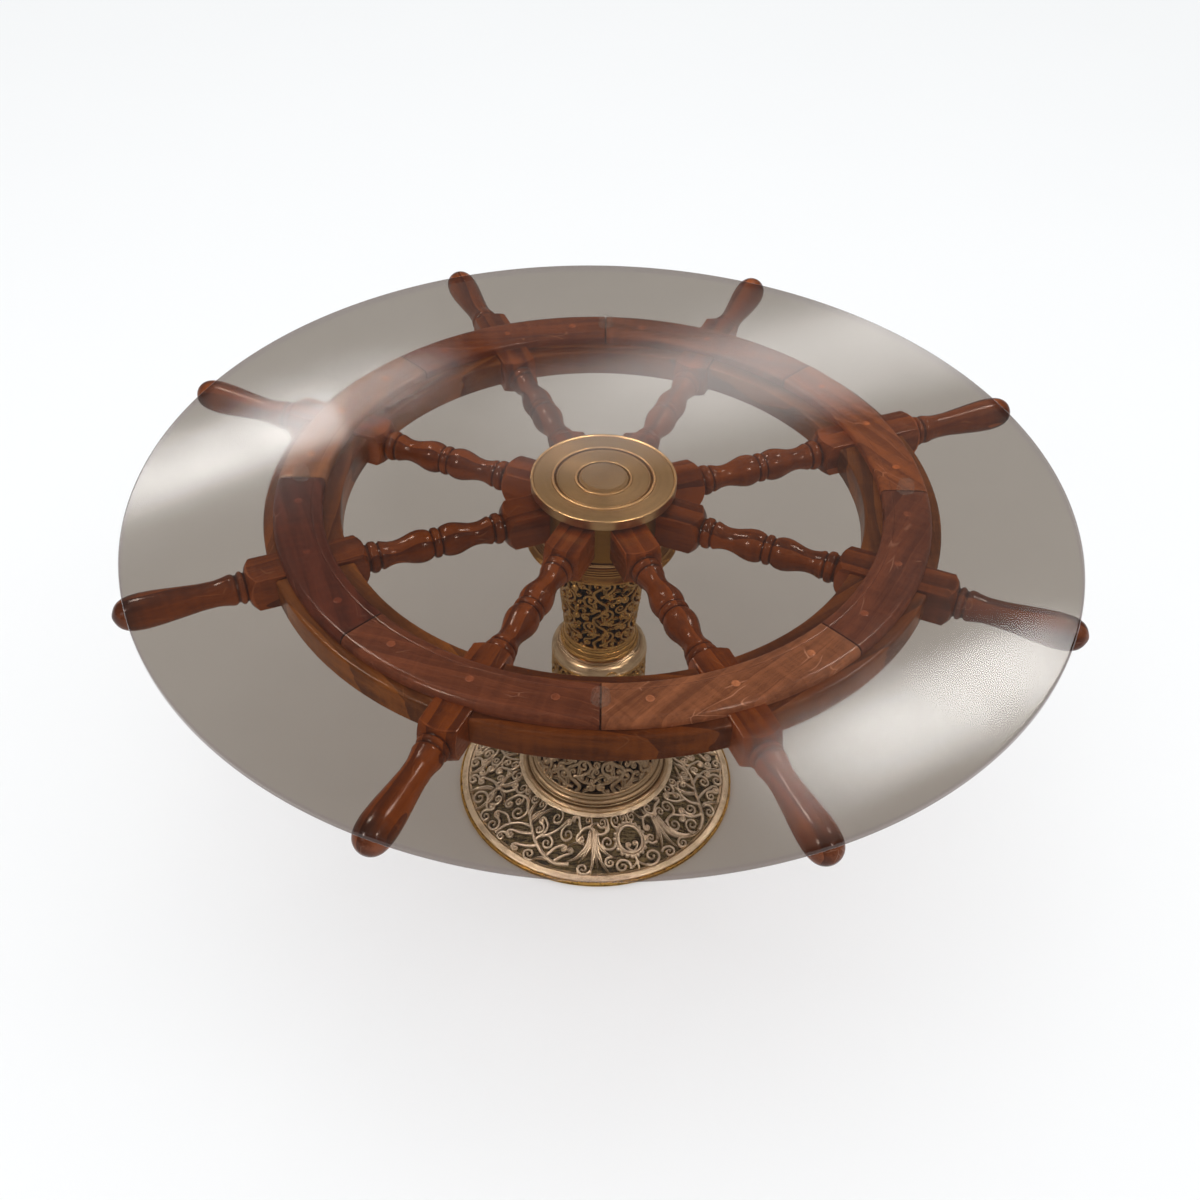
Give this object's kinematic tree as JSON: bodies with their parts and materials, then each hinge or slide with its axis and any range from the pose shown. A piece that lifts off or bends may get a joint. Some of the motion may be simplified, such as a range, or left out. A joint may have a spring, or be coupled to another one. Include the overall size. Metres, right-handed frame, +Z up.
{
  "type": "ship steering wheel",
  "caption": "Ship's steering wheel laid flat as a low table: spoked turned-wood wheel with brass hub under a round smoked glass top, on a pierced cast brass pedestal.",
  "frame": {"origin": "on the floor, below the middle of the whole outline; the wheel's axis stands 28 mm behind it, because the loose glass lies forward", "axes": "+Z up along the wheel's axis; two spokes straddle -Y, the front"},
  "size_m": [1, 1.0433, 0.506],
  "materials": {
    "mahogany": "gloss varnish",
    "teak": "gloss varnish",
    "satin_brass": "spun satin",
    "antique_brass": "aged cast",
    "silvered_brass": "worn polished",
    "steel": "turned",
    "bronze": "turned",
    "woven": "coarse weave",
    "smoked_glass": "polished",
    "clear_rubber": "clear"
  },
  "bodies": {
    "pedestal": {"foot_plate": "antique_brass", "foot_washer": "steel", "foot_nut": "steel", "base_flange": "silvered_brass", "base_liner": "woven", "base_ring": "silvered_brass", "bell": "silvered_brass", "bell_ring": "antique_brass", "lower_drum": "antique_brass", "shoulder": "silvered_brass", "drum_moulding": "antique_brass", "upper_drum": "antique_brass", "neck_collar": "antique_brass", "spindle": "steel", "thrust_washer": "bronze", "spindle_washer": "steel", "spindle_nut": "steel"},
    "wheel": {"spoke_1": "mahogany", "spoke_2": "mahogany", "spoke_3": "mahogany", "spoke_4": "mahogany", "spoke_5": "mahogany", "spoke_6": "mahogany", "spoke_7": "mahogany", "spoke_8": "mahogany", "felloe_1": "teak", "felloe_2": "teak", "felloe_3": "teak", "felloe_4": "teak", "felloe_5": "teak", "felloe_6": "teak", "felloe_7": "teak", "felloe_8": "teak", "top_facing_1": "mahogany", "top_facing_2": "teak", "top_facing_3": "mahogany", "top_facing_4": "teak", "top_facing_5": "mahogany", "top_facing_6": "teak", "top_facing_7": "mahogany", "top_facing_8": "teak", "bottom_facing_1": "mahogany", "bottom_facing_2": "teak", "bottom_facing_3": "mahogany", "bottom_facing_4": "teak", "bottom_facing_5": "mahogany", "bottom_facing_6": "teak", "bottom_facing_7": "mahogany", "bottom_facing_8": "teak", "hub_barrel": "satin_brass", "hub_cap": "satin_brass", "hub_bush": "bronze", "hub_pad": "clear_rubber", "glass_bumper_1": "clear_rubber", "glass_bumper_2": "clear_rubber", "glass_bumper_3": "clear_rubber", "glass_bumper_4": "clear_rubber"},
    "glass": {"glass_top": "smoked_glass"}
  },
  "joints": [
    {"name": "wheel_spin", "type": "hinge", "parent": "pedestal", "child": "wheel", "pos_m": [0, 0.02835, 0.458], "axis": [0, 0, 1], "continuous": true},
    {"name": "glass_lift", "type": "slide", "parent": "wheel", "child": "glass", "axis": [0, 0, 1], "range_m": [0, 0.06]}
  ]
}
